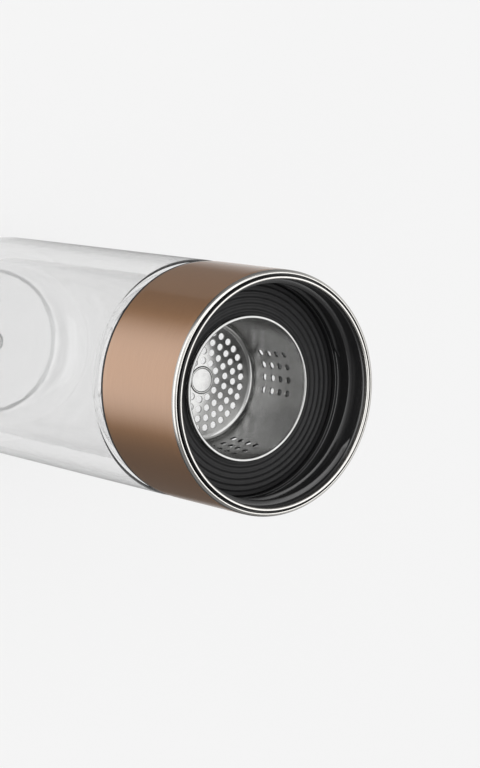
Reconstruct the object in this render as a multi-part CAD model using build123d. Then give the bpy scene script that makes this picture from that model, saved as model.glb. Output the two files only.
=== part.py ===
from build123d import *
import math
import os

os.makedirs("parts", exist_ok=True)

# Open infuser bottle, upright, in millimetres. The origin is the centre of the foot on the table and
# +Z runs up the axis to the mouth. Every piece but the strainer is a ring or a cup about that axis.

# Outer glass: foot, body and shoulder, with the neck on top
body_radius = 32.5
shoulder_height = 111.25
outer_wall = 1.8
foot_corner = 9.0
foot_land_width = 1.3
shoulder_corner = 4.25
shoulder_inside_corner = 4.2
neck_fillet = 1.0

# Hollow base with the hole that the makers seal after the two glass walls are joined
punt_height = 3.0
punt_slope_width = 8.2
punt_fillet = 8.0
vent_radius = 2.0
plug_head_radius = 3.2
plug_head_height = 0.8
plug_clearance = 0.05

# Neck, with the round bead that the collar snaps over
neck_wall = 2.4
neck_length = 17.0
lip_fillet = 0.8
bead_height = 0.8
bead_flat = 1.6
bead_slope = 0.8
bead_below_lip = 3.4

# Inner glass vessel that holds the drink
wall_space = 4.2
inner_wall = 1.6
vessel_floor_space = 4.2
vessel_corner = 8.0
vessel_shoulder_drop = 9.0
vessel_shoulder_height = 5.5
vessel_shoulder_fillet = 7.0

# Rubber cushion between the shoulder and the collar
cushion_thickness = 0.95
cushion_setback = 0.15
cushion_neck_space = 0.2

# Steel sleeve, the coloured outer skin of the collar
sleeve_height = 32.15
sleeve_wall = 0.55
sleeve_edge = 0.2
sleeve_clearance = 0.05

# Black moulded liner: cap thread above, double skirt around the neck below
gasket_thickness = 0.8
gasket_setback = 0.1
flange_thickness = 1.6
flange_overhang = 1.9
thread_wall = 2.1
thread_bore_lead_in = 0.3
seat_step = 0.9
cap_clearance = 0.2
outer_skirt_wall = 1.7
inner_skirt_wall = 1.8
skirt_space = 3.9
skirt_clearance = 0.3
bead_groove_clearance = 0.2
skirt_rib_count = 12
skirt_rib_thickness = 1.2

# Ribbed rubber seal that lines the liner's floor and carries the strainer
seal_thickness = 1.35
seal_clearance = 0.1
seal_land_width = 1.1
seal_rib_height = 0.4
seal_rib_width = 0.8
seal_rib_pitch = 1.6
seal_rib_crown = 0.4

# Polished ring that closes the mouth: a round bead at the bore, a deep groove and a lower land
ring_height = 1.5
ring_bore_step = 0.2
ring_setback = 0.05
ring_lip_width = 1.0
ring_lip_fillet = 0.45
ring_groove_width = 0.45
ring_groove_depth = 0.7
ring_land_drop = 0.55
ring_land_flat = 0.1

# Steel strainer cup
strainer_sheet = 0.5
strainer_bead_radius = 0.5
strainer_hole_space = 0.8
strainer_taper = 1.7
strainer_depth = 21.3
strainer_corner = 1.8
strainer_clearance = 0.25
strainer_seat_gap = 0.2

# Holes of the strainer: rings in its floor and four square fields in its wall
hole_sides = 6
floor_hole_radius = 0.8
floor_hole_pitch = 2.65
floor_hole_margin = 0.5
first_floor_ring = 2
holes_per_ring_step = 6
floor_turn = 23.4
wall_hole_radius = 0.72
wall_hole_drop = 6.2
wall_hole_row_pitch = 3.23
wall_hole_rows = 4
wall_hole_columns = 4
wall_hole_column_angle = 11.5
wall_fields = 4
wall_field_turn = 6.0
boss_radius = 3.6
boss_height = 0.4

# One overrun that every cutter has past the face it leaves
overrun = 1.0

# Radii that several pieces share, from the outside in
liner_radius = body_radius - sleeve_wall - sleeve_clearance
thread_bore_radius = liner_radius - thread_wall
seat_bore_radius = thread_bore_radius - seat_step
outer_skirt_bore = liner_radius - outer_skirt_wall
inner_skirt_radius = outer_skirt_bore - skirt_space
skirt_bore_radius = inner_skirt_radius - inner_skirt_wall
neck_radius = skirt_bore_radius - skirt_clearance
neck_bore_radius = neck_radius - neck_wall
flange_hole_radius = neck_bore_radius - flange_overhang
strainer_rim_radius = flange_hole_radius - strainer_hole_space - strainer_sheet
strainer_floor_radius = strainer_rim_radius - strainer_taper
foot_inner_radius = body_radius - foot_corner - foot_land_width
punt_flat_radius = foot_inner_radius - punt_slope_width
vessel_radius = body_radius - outer_wall - wall_space

# Heights that several pieces share, from the foot up
seam_height = shoulder_height - outer_wall
lip_height = shoulder_height + neck_length
bead_centre_height = lip_height - bead_below_lip
collar_bottom = shoulder_height + cushion_thickness
collar_top = collar_bottom + sleeve_height
flange_bottom = lip_height + gasket_thickness
flange_top = flange_bottom + flange_thickness
seal_top = flange_top + seal_thickness
strainer_rim_height = seal_top + strainer_seat_gap + strainer_bead_radius
thread_bottom = strainer_rim_height + strainer_bead_radius + cap_clearance


def turned(corners):
    """Solid of revolution about Z from its half section. A corner is (radius, height, fillet)."""
    points = [(radius, 0, height) for radius, height, _ in corners]
    fillets = [fillet_radius for _, _, fillet_radius in corners]
    outline = FilletPolyline(*points, radius=fillets, close=True)
    return revolve(make_face(outline), Axis.Z)


def outer_shell():
    """Outer glass wall: hollow foot, straight body, rounded shoulder and the neck with its bead."""
    slope = math.atan2(punt_height, foot_inner_radius - punt_flat_radius)
    shift = outer_wall * math.tan(slope / 2)
    inside_radius = body_radius - outer_wall
    inside_punt = punt_height + outer_wall
    bead_half = bead_flat / 2
    return turned([
        (vent_radius, punt_height, 0),
        (punt_flat_radius, punt_height, punt_fillet),
        (foot_inner_radius, 0, 0),
        (body_radius, 0, foot_corner),
        (body_radius, shoulder_height, shoulder_corner),
        (neck_radius, shoulder_height, neck_fillet),
        (neck_radius, bead_centre_height - bead_half - bead_slope, 0),
        (neck_radius + bead_height, bead_centre_height - bead_half, 0),
        (neck_radius + bead_height, bead_centre_height + bead_half, 0),
        (neck_radius, bead_centre_height + bead_half + bead_slope, 0),
        (neck_radius, lip_height, lip_fillet),
        (neck_bore_radius, lip_height, lip_fillet),
        (neck_bore_radius, seam_height, 0),
        (inside_radius, seam_height, shoulder_inside_corner),
        (inside_radius, outer_wall, foot_corner - outer_wall),
        (foot_inner_radius + shift, outer_wall, 0),
        (punt_flat_radius + shift, inside_punt, punt_fillet),
        (vent_radius, inside_punt, 0),
    ])


def inner_vessel():
    """Inner glass wall: a round-bottomed cup whose top is fused to the neck at the seam height."""
    floor = punt_height + outer_wall + vessel_floor_space
    inside_radius = vessel_radius - inner_wall
    shoulder_bottom = seam_height - vessel_shoulder_drop
    shoulder_top = shoulder_bottom + vessel_shoulder_height
    return turned([
        (0, floor, 0),
        (vessel_radius, floor, vessel_corner),
        (vessel_radius, shoulder_bottom, vessel_shoulder_fillet),
        (neck_radius, shoulder_top, vessel_shoulder_fillet),
        (neck_radius, seam_height, 0),
        (neck_bore_radius, seam_height, 0),
        (neck_bore_radius, shoulder_top, vessel_shoulder_fillet),
        (inside_radius, shoulder_bottom, vessel_shoulder_fillet),
        (inside_radius, floor + inner_wall, vessel_corner - inner_wall),
        (0, floor + inner_wall, 0),
    ])


def base_plug():
    """Rubber plug that seals the hole in the base, with its head up inside the hollow foot."""
    shank_radius = vent_radius - plug_clearance
    return turned([
        (0, punt_height - plug_head_height, 0),
        (plug_head_radius, punt_height - plug_head_height, 0),
        (plug_head_radius, punt_height, 0),
        (shank_radius, punt_height, 0),
        (shank_radius, punt_height + outer_wall, 0),
        (0, punt_height + outer_wall, 0),
    ])


def collar_cushion():
    """Flat rubber washer on the glass shoulder: the black line at the collar's lower edge."""
    inner_radius = neck_radius + neck_fillet + cushion_neck_space
    outer_radius = body_radius - cushion_setback
    return turned([
        (inner_radius, shoulder_height, 0),
        (outer_radius, shoulder_height, 0),
        (outer_radius, collar_bottom, 0),
        (inner_radius, collar_bottom, 0),
    ])


def collar_sleeve():
    """Thin steel tube, the coloured skin of the collar, flush with the glass below it."""
    inner_radius = body_radius - sleeve_wall
    return turned([
        (inner_radius, collar_bottom, 0),
        (body_radius - sleeve_edge, collar_bottom, 0),
        (body_radius, collar_bottom + sleeve_edge, 0),
        (body_radius, collar_top - sleeve_edge, 0),
        (body_radius - sleeve_edge, collar_top, 0),
        (inner_radius, collar_top, 0),
    ])


def neck_gasket():
    """Rubber ring squeezed between the glass lip and the liner's flange."""
    inner_radius = neck_bore_radius + gasket_setback
    outer_radius = neck_radius - gasket_setback
    return turned([
        (inner_radius, lip_height, 0),
        (outer_radius, lip_height, 0),
        (outer_radius, flange_bottom, 0),
        (inner_radius, flange_bottom, 0),
    ])


def collar_liner():
    """Moulded liner: threaded cup for the cap, flange over the lip, and two ribbed skirts below."""
    groove_radius = neck_radius + bead_height + bead_groove_clearance
    groove_half = bead_flat / 2 + bead_slope + bead_groove_clearance
    section = turned([
        (skirt_bore_radius, collar_bottom, 0),
        (inner_skirt_radius, collar_bottom, 0),
        (inner_skirt_radius, flange_bottom, 0),
        (outer_skirt_bore, flange_bottom, 0),
        (outer_skirt_bore, collar_bottom, 0),
        (liner_radius, collar_bottom, 0),
        (liner_radius, collar_top, 0),
        (thread_bore_radius + thread_bore_lead_in, collar_top, 0),
        (thread_bore_radius, collar_top - thread_bore_lead_in, 0),
        (thread_bore_radius, thread_bottom, 0),
        (seat_bore_radius, thread_bottom, 0),
        (seat_bore_radius, flange_top, 0),
        (flange_hole_radius, flange_top, 0),
        (flange_hole_radius, flange_bottom, 0),
        (skirt_bore_radius, flange_bottom, 0),
        (skirt_bore_radius, bead_centre_height + groove_half, 0),
        (groove_radius, bead_centre_height + groove_half - bead_slope, 0),
        (groove_radius, bead_centre_height - groove_half + bead_slope, 0),
        (skirt_bore_radius, bead_centre_height - groove_half, 0),
    ])
    rib_length = outer_skirt_bore - inner_skirt_radius + outer_skirt_wall
    rib_height = flange_bottom - collar_bottom
    rib_middle = inner_skirt_radius + (outer_skirt_bore - inner_skirt_radius) / 2
    rib = Pos(rib_middle, 0, collar_bottom) * Box(
        rib_length, skirt_rib_thickness, rib_height, align=(Align.CENTER, Align.CENTER, Align.MIN)
    )
    ribs = [Rot(0, 0, 360 * step / skirt_rib_count) * rib for step in range(skirt_rib_count)]
    return section + ribs


def floor_seal():
    """Rubber floor of the mouth with round sealing ribs; the strainer's rim sits on its inner land."""
    inner_radius = strainer_rim_radius + strainer_sheet + strainer_clearance
    outer_radius = seat_bore_radius - seal_clearance
    first_rib = strainer_rim_radius + 2 * strainer_bead_radius + seal_land_width
    section = [(inner_radius, seal_top, 0), (inner_radius, flange_top, 0)]
    section += [(outer_radius, flange_top, 0), (outer_radius, seal_top, 0)]
    rib_space = outer_radius - seal_rib_width / 2 - first_rib
    for step in reversed(range(int(rib_space / seal_rib_pitch) + 1)):
        middle = first_rib + step * seal_rib_pitch
        section += [
            (middle + seal_rib_width / 2, seal_top, 0),
            (middle + seal_rib_crown / 2, seal_top + seal_rib_height, 0),
            (middle - seal_rib_crown / 2, seal_top + seal_rib_height, 0),
            (middle - seal_rib_width / 2, seal_top, 0),
        ]
    return turned(section)


def rim_ring():
    """Polished ring on top of the sleeve and liner: rounded outside, a groove, and a raised bead lip."""
    outer_radius = body_radius - ring_setback
    inner_radius = thread_bore_radius + ring_bore_step
    ring_top = collar_top + ring_height
    lip_radius = inner_radius + ring_lip_width
    groove_radius = lip_radius + ring_groove_width
    ring_corner = outer_radius - groove_radius - ring_land_flat
    return turned([
        (inner_radius, collar_top, 0),
        (outer_radius, collar_top, 0),
        (outer_radius, ring_top - ring_land_drop, ring_corner),
        (groove_radius, ring_top - ring_land_drop, 0),
        (groove_radius, ring_top - ring_land_drop - ring_groove_depth, 0),
        (lip_radius, ring_top - ring_land_drop - ring_groove_depth, 0),
        (lip_radius, ring_top, ring_lip_fillet),
        (inner_radius, ring_top, ring_lip_fillet),
    ])


def strainer_shell():
    """Deep-drawn steel cup with a rolled rim and a small round boss pressed up in its floor."""
    rim = strainer_rim_height
    floor_top = rim - strainer_depth
    floor_bottom = floor_top - strainer_sheet
    wall = turned([
        (0, floor_bottom, 0),
        (strainer_floor_radius + strainer_sheet, floor_bottom, strainer_corner + strainer_sheet),
        (strainer_rim_radius + strainer_sheet, rim, 0),
        (strainer_rim_radius, rim, 0),
        (strainer_floor_radius, floor_top, strainer_corner),
        (0, floor_top, 0),
    ])
    bead_section = Pos(strainer_rim_radius + strainer_bead_radius, 0, rim) * Rot(90, 0, 0)
    rolled_rim = revolve(bead_section * Circle(strainer_bead_radius), Axis.Z)
    boss = turned([
        (0, floor_top - boss_height, 0),
        (boss_radius, floor_top - boss_height, 0),
        (boss_radius, floor_top + boss_height, 0),
        (0, floor_top + boss_height, 0),
    ])
    return wall + rolled_rim + boss


def floor_hole_places():
    """Places of the floor's holes: rings at equal spacing, each with six more holes than the last."""
    hole_space = strainer_floor_radius - strainer_corner - floor_hole_radius - floor_hole_margin
    last_floor_ring = int(hole_space / floor_hole_pitch)
    for ring in range(first_floor_ring, last_floor_ring + 1):
        count = holes_per_ring_step * ring
        for step in range(count):
            angle = math.radians(floor_turn + 360 * step / count)
            radius = floor_hole_pitch * ring
            yield radius * math.cos(angle), radius * math.sin(angle)


def wall_hole_places():
    """Height and turn of each wall hole, in fields of rows and columns spaced round the cup."""
    middle_column = (wall_hole_columns - 1) / 2
    for field in range(wall_fields):
        for column in range(wall_hole_columns):
            turn = wall_field_turn + 360 * field / wall_fields
            turn += (column - middle_column) * wall_hole_column_angle
            for row in range(wall_hole_rows):
                yield strainer_rim_height - wall_hole_drop - row * wall_hole_row_pitch, turn


def strainer_cup():
    """The strainer with all its holes cut in one step."""
    floor_bottom = strainer_rim_height - strainer_depth - strainer_sheet
    drill = extrude(RegularPolygon(floor_hole_radius, hole_sides), strainer_sheet + 2 * overrun)
    cutters = [Pos(x, y, floor_bottom - overrun) * drill for x, y in floor_hole_places()]
    draft = math.degrees(math.atan2(strainer_rim_radius - strainer_floor_radius, strainer_depth))
    reach = strainer_rim_radius - strainer_floor_radius + strainer_sheet + 2 * overrun
    side_drill = extrude(RegularPolygon(wall_hole_radius, hole_sides), reach + overrun)
    side_drill = Pos(strainer_floor_radius - overrun, 0, 0) * Rot(0, 90 - draft, 0) * side_drill
    for height, turn in wall_hole_places():
        cutters.append(Rot(0, 0, turn) * Pos(0, 0, height) * side_drill)
    return strainer_shell() - cutters


pieces = {
    "outer_glass": outer_shell,
    "inner_glass": inner_vessel,
    "base_plug": base_plug,
    "collar_cushion": collar_cushion,
    "collar_sleeve": collar_sleeve,
    "neck_gasket": neck_gasket,
    "collar_liner": collar_liner,
    "floor_seal": floor_seal,
    "rim_ring": rim_ring,
    "strainer_cup": strainer_cup,
}

for name, make in pieces.items():
    solid = make()
    print(name, "solids", len(solid.solids()), "volume", round(solid.volume))
    export_step(solid, f"parts/{name}.step")
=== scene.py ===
# %% [markdown]
# # An open infuser bottle
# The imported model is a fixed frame: ten pieces on two bodies, the bottle and its lift-out strainer.
# This lesson gives each piece its finish, and makes all but two of them again as smooth or fine
# meshes worked out with numpy. Lengths on the bottle are typed in millimetres and turned to metres by
# one factor. The room, its lamps and the camera are in metres.

# %% Load the frame
import math

import bmesh
import bpy
import numpy as np
from mathutils import Matrix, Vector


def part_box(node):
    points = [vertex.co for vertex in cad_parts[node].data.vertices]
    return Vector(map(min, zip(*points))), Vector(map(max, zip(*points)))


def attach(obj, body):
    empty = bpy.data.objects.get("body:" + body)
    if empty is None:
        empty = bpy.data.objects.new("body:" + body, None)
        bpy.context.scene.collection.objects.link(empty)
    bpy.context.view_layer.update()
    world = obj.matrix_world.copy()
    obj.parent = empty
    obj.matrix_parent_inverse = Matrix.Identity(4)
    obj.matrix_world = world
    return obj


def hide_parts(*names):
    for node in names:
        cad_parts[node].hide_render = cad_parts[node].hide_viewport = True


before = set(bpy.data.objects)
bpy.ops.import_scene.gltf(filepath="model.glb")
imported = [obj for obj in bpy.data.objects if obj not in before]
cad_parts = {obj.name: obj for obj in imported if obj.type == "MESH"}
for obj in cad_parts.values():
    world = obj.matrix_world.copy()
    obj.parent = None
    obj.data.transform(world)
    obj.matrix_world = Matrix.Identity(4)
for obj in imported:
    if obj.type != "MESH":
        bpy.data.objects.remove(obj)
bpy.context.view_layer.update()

mm = 0.001
print("nodes:", sorted(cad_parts))

# %% [markdown]
# ## Sizes
# The outer sizes are read from the frame, so the pieces made here can't drift away from it. Walls,
# fillets and clearances can't be read from a box, and are typed once, in millimetres.

# %% Sizes read from the frame
body_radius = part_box("outer_glass")[1].x / mm
lip_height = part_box("outer_glass")[1].z / mm
vessel_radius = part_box("inner_glass")[1].x / mm
vessel_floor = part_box("inner_glass")[0].z / mm
seam_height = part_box("inner_glass")[1].z / mm
collar_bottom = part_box("collar_sleeve")[0].z / mm
collar_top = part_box("collar_sleeve")[1].z / mm
cushion_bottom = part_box("collar_cushion")[0].z / mm
ring_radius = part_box("rim_ring")[1].x / mm
ring_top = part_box("rim_ring")[1].z / mm
seal_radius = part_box("floor_seal")[1].x / mm
seal_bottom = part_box("floor_seal")[0].z / mm
seal_rib_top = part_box("floor_seal")[1].z / mm
strainer_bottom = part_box("strainer_cup")[0].z / mm
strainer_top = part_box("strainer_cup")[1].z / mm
print("body radius", round(body_radius, 2), "height", round(ring_top, 2), "mm")

# %% [markdown]
# ## Turned pieces
# Glass, ring, cushion, sleeve, liner and seal are all turned about one axis. Such a piece could be
# spun with the Screw modifier, but then its shading is averaged from flat faces, and clear glass shows
# every facet. So the outline is worked out with its exact normals, and each face corner gets the
# normal of its own stretch: fillets shade round, and corners without a fillet stay sharp.

# %% Outline with fillets
def outline_of(corners, arc_steps=10, closed=False):
    """Stretches of an outline through corners of (radius, height, fillet) in millimetres.

    At a corner, the sides stop short by fillet * tan(turn / 2). An arc joins them whose centre lies on
    the side's normal at that point, a fillet away. Points are returned in order, with the outward
    normal at the start and at the end of the stretch that follows each point. The solid is on the left.
    """
    xy = np.array([corner[:2] for corner in corners], float)
    fillets = np.array([corner[2] for corner in corners], float)
    runs = np.roll(xy, -1, 0) - xy
    ways = runs / np.linalg.norm(runs, axis=1)[:, None]
    points, starts, ends = [], [], []
    for i, (here, fillet) in enumerate(zip(xy, fillets)):
        way_in, way_out = ways[i - 1], ways[i]
        turn = math.atan2(way_in[0] * way_out[1] - way_in[1] * way_out[0], way_in @ way_out)
        if fillet == 0 or (not closed and i in (0, len(xy) - 1)):
            points.append(here[None])
            starts.append(np.array([[way_out[1], -way_out[0]]]))
            ends.append(starts[-1])
            continue
        side = math.copysign(1, turn)
        share = np.linspace(0, turn, arc_steps + 1)
        normal = np.array([way_in[1], -way_in[0]])
        centre = here - way_in * fillet * math.tan(abs(turn) / 2) - normal * fillet * side
        turned_normal = np.stack([
            normal[0] * np.cos(share) - normal[1] * np.sin(share),
            normal[0] * np.sin(share) + normal[1] * np.cos(share),
        ], axis=1)
        points.append(centre + turned_normal * fillet * side)
        starts.append(turned_normal)
        ends.append(np.vstack([turned_normal[1:], turned_normal[-1:]]))
    return np.vstack(points), np.vstack(starts), np.vstack(ends)


# %% Turn an outline into a mesh
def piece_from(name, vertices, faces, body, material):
    """An object at the origin with that mesh, riding on its body."""
    mesh = bpy.data.meshes.new(name)
    mesh.from_pydata(vertices, [], faces)
    mesh.materials.append(material)
    piece = bpy.data.objects.new(name, mesh)
    bpy.context.scene.collection.objects.link(piece)
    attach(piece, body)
    print(name, "faces", len(mesh.polygons))
    return piece


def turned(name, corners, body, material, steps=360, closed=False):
    """Piece of revolution about Z from an outline.

    Vertex (i, j) is outline point i turned by j * 360 / steps degrees. A point on the axis is one
    vertex, and its faces are triangles. Corner normals are the stretch's normals, turned alike.
    """
    points, starts, ends = outline_of(corners, closed=closed)
    rows = len(points)
    on_axis = points[:, 0] < 1e-9
    turns = np.arange(steps) * 2 * math.pi / steps
    ring = np.stack([np.cos(turns), np.sin(turns)], axis=1)
    first = np.concatenate([[0], np.cumsum(np.where(on_axis, 1, steps))])
    vertices = np.vstack([
        [[0, 0, z]] if axis else np.column_stack([ring * r, np.full(steps, z)])
        for (r, z), axis in zip(points, on_axis)
    ]) * mm
    step = np.arange(steps)
    after = (step + 1) % steps
    faces, normals = [], []
    for i in range(rows if closed else rows - 1):
        k = (i + 1) % rows
        low, high = first[i], first[k]
        near, far = starts[i], ends[i]
        if on_axis[i]:
            faces += np.column_stack([np.full(steps, low), high + after, high + step]).tolist()
            corner = [(near, step), (far, after), (far, step)]
        elif on_axis[k]:
            faces += np.column_stack([low + step, low + after, np.full(steps, high)]).tolist()
            corner = [(near, step), (near, after), (far, step)]
        else:
            faces += np.column_stack([low + step, low + after, high + after, high + step]).tolist()
            corner = [(near, step), (near, after), (far, after), (far, step)]
        normals.append(np.stack([
            np.column_stack([ring[j] * n[0], np.full(steps, n[1])]) for n, j in corner
        ], axis=1).reshape(-1, 3))
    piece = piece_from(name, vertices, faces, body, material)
    piece.data.normals_split_custom_set(np.vstack(normals))
    return piece


# %% [markdown]
# ## Materials
# Every finish is one Principled shader with its pattern on Object coordinates, which stay with the
# piece when it moves. A few small helpers carry them all: linear light from a written colour, a node
# with its settings and links, coordinates counted in grains, and masks between two limits.

# %% Material helpers
def linear(code):
    """An sRGB colour such as "c0a080" as linear red, green, blue and alpha.

    A level up to 0.04045 is divided by 12.92. Above that it is (level + 0.055) / 1.055 to the power 2.4.
    """
    parts = [int(code[i:i + 2], 16) / 255 for i in (0, 2, 4)]
    return [p / 12.92 if p <= 0.04045 else ((p + 0.055) / 1.055) ** 2.4 for p in parts] + [1]


def add(tree, kind, inputs=None, **settings):
    """A node of that kind. inputs gives a value or another node's output for each socket."""
    node = tree.nodes.new("ShaderNode" + kind)
    for key, value in settings.items():
        setattr(node, key, value)
    for key, value in (inputs or {}).items():
        if isinstance(value, bpy.types.NodeSocket):
            tree.links.new(value, node.inputs[key])
        else:
            node.inputs[key].default_value = value
    return node


def new_material(name):
    """An empty material and its node tree, with an output node."""
    material = bpy.data.materials.new(name)
    material.use_nodes = True
    tree = material.node_tree
    tree.nodes.clear()
    print("material", name)
    return material, tree, add(tree, "OutputMaterial")


def stretched(tree, grain, seed=0.0):
    """Object coordinates divided by a grain size in millimetres for X, Y and Z, and shifted by seed."""
    place = add(tree, "TexCoord").outputs["Object"]
    scale = [1 / (size * mm) for size in grain]
    mapping = add(tree, "Mapping", {"Vector": place, "Scale": scale, "Location": (seed, seed, seed)})
    return mapping.outputs["Vector"]


def radius_of(tree):
    """Distance from the bottle's axis: the length of the coordinates with Z left out."""
    place = add(tree, "TexCoord").outputs["Object"]
    flat = add(tree, "VectorMath", {0: place, 1: (1, 1, 0)}, operation="MULTIPLY")
    return add(tree, "VectorMath", {0: flat.outputs[0]}, operation="LENGTH").outputs["Value"]


def height_of(tree):
    """Height above the table."""
    return add(tree, "SeparateXYZ", {0: add(tree, "TexCoord").outputs["Object"]}).outputs["Z"]


def between(tree, value, low, high):
    """1 where a length lies between two limits in millimetres, and 0 elsewhere."""
    past = add(tree, "Math", {0: value, 1: low * mm}, operation="GREATER_THAN")
    before = add(tree, "Math", {0: value, 1: high * mm}, operation="LESS_THAN")
    return add(tree, "Math", {0: past.outputs[0], 1: before.outputs[0]}, operation="MULTIPLY").outputs[0]


# %% [markdown]
# ### Borosilicate glass
# The body is blown and lathe-worked borosilicate tube: IOR 1.47, no grain and a very slight waviness,
# drawn out along the tube. A faint absorption inside the wall greys it where it is seen edge on. The
# foot is ground flat on a narrow ring, which is matt, and that ring is painted grey as the shade where
# the foot meets the floor. Cycles stops lamp light at glass, so lamp rays pass by a Transparent shader,
# a little darker than clear.

# %% Glass
wave_grain = (14, 14, 34)
# The foot ring is ground (rougher) and painted grey there as contact shade.
ground_and_shade_radii, ground_and_shade_heights, ground_roughness = (21.8, 23.6), (-0.1, 0.3), 0.4


def blown_glass(name, tint, foot_shade_tint, wave, dark_per_mm):
    """Clear glass with a ground foot, painted grey as the shade where it meets the floor. wave is the
    depth of its waviness in millimetres.
    """
    material, tree, output = new_material(name)
    slow = add(tree, "TexNoise", {"Vector": stretched(tree, wave_grain), "Detail": 1.0})
    bump = add(tree, "Bump", {"Height": slow.outputs[0], "Distance": wave * mm, "Strength": 1.0})
    on_ring = between(tree, radius_of(tree), *ground_and_shade_radii)
    on_foot = between(tree, height_of(tree), *ground_and_shade_heights)
    ground_and_shade = add(tree, "Math", {0: on_ring, 1: on_foot}, operation="MULTIPLY").outputs[0]
    # Painted shade: the foot ring's colour turns grey where the foot meets the floor.
    colour = add(tree, "Mix", {
        "Factor": ground_and_shade, 6: linear(tint), 7: linear(foot_shade_tint),
    }, data_type="RGBA")
    rough = add(tree, "Math", {0: ground_and_shade, 1: ground_roughness}, operation="MULTIPLY")
    glass = add(tree, "BsdfPrincipled", {
        "Base Color": colour.outputs[2], "Transmission Weight": 1.0, "Roughness": rough.outputs[0],
        "IOR": 1.473, "Normal": bump.outputs[0],
    })
    passed = add(tree, "BsdfTransparent", {"Color": linear("fafafa")})
    lamp = add(tree, "LightPath").outputs["Is Shadow Ray"]
    mix = add(tree, "MixShader", {0: lamp, 1: glass.outputs[0], 2: passed.outputs[0]})
    tree.links.new(mix.outputs[0], output.inputs["Surface"])
    inside = add(tree, "VolumeAbsorption", {"Color": (0, 0, 0, 1), "Density": dark_per_mm / mm})
    tree.links.new(inside.outputs[0], output.inputs["Volume"])
    return material


# a6a8a8 is the painted shade on the foot ring.
glass = blown_glass("borosilicate_blown", "ffffff", "a6a8a8", wave=0.006, dark_per_mm=0.02)

# %% [markdown]
# ### Bronze-coated steel
# The sleeve is thin steel, brushed round its girth and coated bronze, so its shine spreads along the
# axis: an anisotropic highlight with a tangent that runs round Z. The coat is a clear layer of high
# IOR over the metal, which adds a sharper gleam at grazing angles. The real streaks are a few
# hundredths of a millimetre wide, too fine to show, so they are drawn 0.15 mm wide and 24 mm long.

# %% Brushed bronze sleeve
def brushed_sleeve(name, tints, grain, roughness, depth):
    """Steel brushed round its girth under a coat: streaks as long and as far apart as grain says."""
    material, tree, output = new_material(name)
    streak = add(tree, "TexNoise", {"Vector": stretched(tree, grain), "Detail": 2.0})
    colour = add(tree, "ValToRGB", {"Fac": streak.outputs[0]})
    for stop, position, tint in zip(colour.color_ramp.elements, (0.3, 0.7), tints):
        stop.position, stop.color = position, linear(tint)
    rough = add(tree, "MapRange", {
        "Value": streak.outputs[0], "To Min": roughness[0], "To Max": roughness[1],
    })
    bump = add(tree, "Bump", {"Height": streak.outputs[0], "Distance": depth * mm, "Strength": 1.0})
    tangent = add(tree, "Tangent", direction_type="RADIAL", axis="Z")
    metal = add(tree, "BsdfPrincipled", {
        "Base Color": colour.outputs[0], "Metallic": 1.0, "Roughness": rough.outputs[0],
        "Anisotropic": 0.85, "Anisotropic Rotation": 0.25, "Normal": bump.outputs[0],
        "Tangent": tangent.outputs[0],
        "Coat Weight": 1.0, "Coat Roughness": 0.15, "Coat IOR": 2.4,
    })
    tree.links.new(metal.outputs[0], output.inputs["Surface"])
    return material


sleeve_metal = brushed_sleeve(
    "bronze_coated_brushed_steel", ("b78a62", "c5986e"),
    grain=(24, 24, 0.15), roughness=(0.58, 0.70), depth=0.002,
)

# %% [markdown]
# ### Bare steel
# The ring is turned and polished. Its groove is painted black as shade, and the black runs a little up
# the bead's side as a painted dark reflection. The strainer is deep-drawn: bright, with faint marks
# drawn out up the wall, and a shade duller on the wall than on floor and rim, where the tool has
# pressed it smooth. Polishing marks are far too fine to show, so the noise has the size of the slow
# unevenness that polishing leaves: 2 mm on the ring, and 1.5 mm by 9 mm up the strainer's wall.

# %% Patterns of bare and moulded surfaces
def grained(tree, grain, roughness, depth):
    """Roughness and normal from one noise. grain is its size, and depth its height, in millimetres."""
    marks = add(tree, "TexNoise", {"Vector": stretched(tree, grain), "Detail": 3.0})
    rough = add(tree, "MapRange", {
        "Value": marks.outputs[0], "To Min": roughness[0], "To Max": roughness[1],
    })
    bump = add(tree, "Bump", {"Height": marks.outputs[0], "Distance": depth * mm, "Strength": 1.0})
    return {"Roughness": rough.outputs[0], "Normal": bump.outputs[0]}


def clouded(tree, dark, light, grain, seed):
    """A colour that drifts slowly between two written colours."""
    cloud = add(tree, "TexNoise", {"Vector": stretched(tree, grain, seed), "Detail": 2.0})
    ends = {"Factor": cloud.outputs[0], 6: linear(dark), 7: linear(light)}
    return add(tree, "Mix", ends, data_type="RGBA").outputs[2]


# %% Polished and drawn steel
def bare_steel(name, dark, light, roughness, grain, depth):
    """Bare stainless steel. grain is its marks' size in millimetres, and depth how deep they are."""
    material, tree, output = new_material(name)
    metal = add(tree, "BsdfPrincipled", {
        "Base Color": clouded(tree, dark, light, (9, 9, 12), 3.0), "Metallic": 1.0,
        **grained(tree, grain, roughness, depth),
    })
    tree.links.new(metal.outputs[0], output.inputs["Surface"])
    return material


def duller_between(material, low, high, extra, rise_over=1.5, fall_over=0.5):
    """Adds to a steel's roughness between two heights in millimetres, fading out near both."""
    tree = material.node_tree
    metal = next(node for node in tree.nodes if node.type == "BSDF_PRINCIPLED")
    height = height_of(tree)
    rise = add(tree, "MapRange", {
        "Value": height, "From Min": low * mm, "From Max": (low + rise_over) * mm,
        "To Min": 0.0, "To Max": extra,
    })
    fall = add(tree, "MapRange", {
        "Value": height, "From Min": (high - fall_over) * mm, "From Max": high * mm,
        "To Min": 1.0, "To Max": 0.0,
    })
    more = add(tree, "Math", {0: rise.outputs[0], 1: fall.outputs[0]}, operation="MULTIPLY")
    rough = metal.inputs["Roughness"].links[0].from_socket
    rough = add(tree, "Math", {0: rough, 1: more.outputs[0]}, operation="ADD")
    tree.links.new(rough.outputs[0], metal.inputs["Roughness"])
    return material


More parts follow.
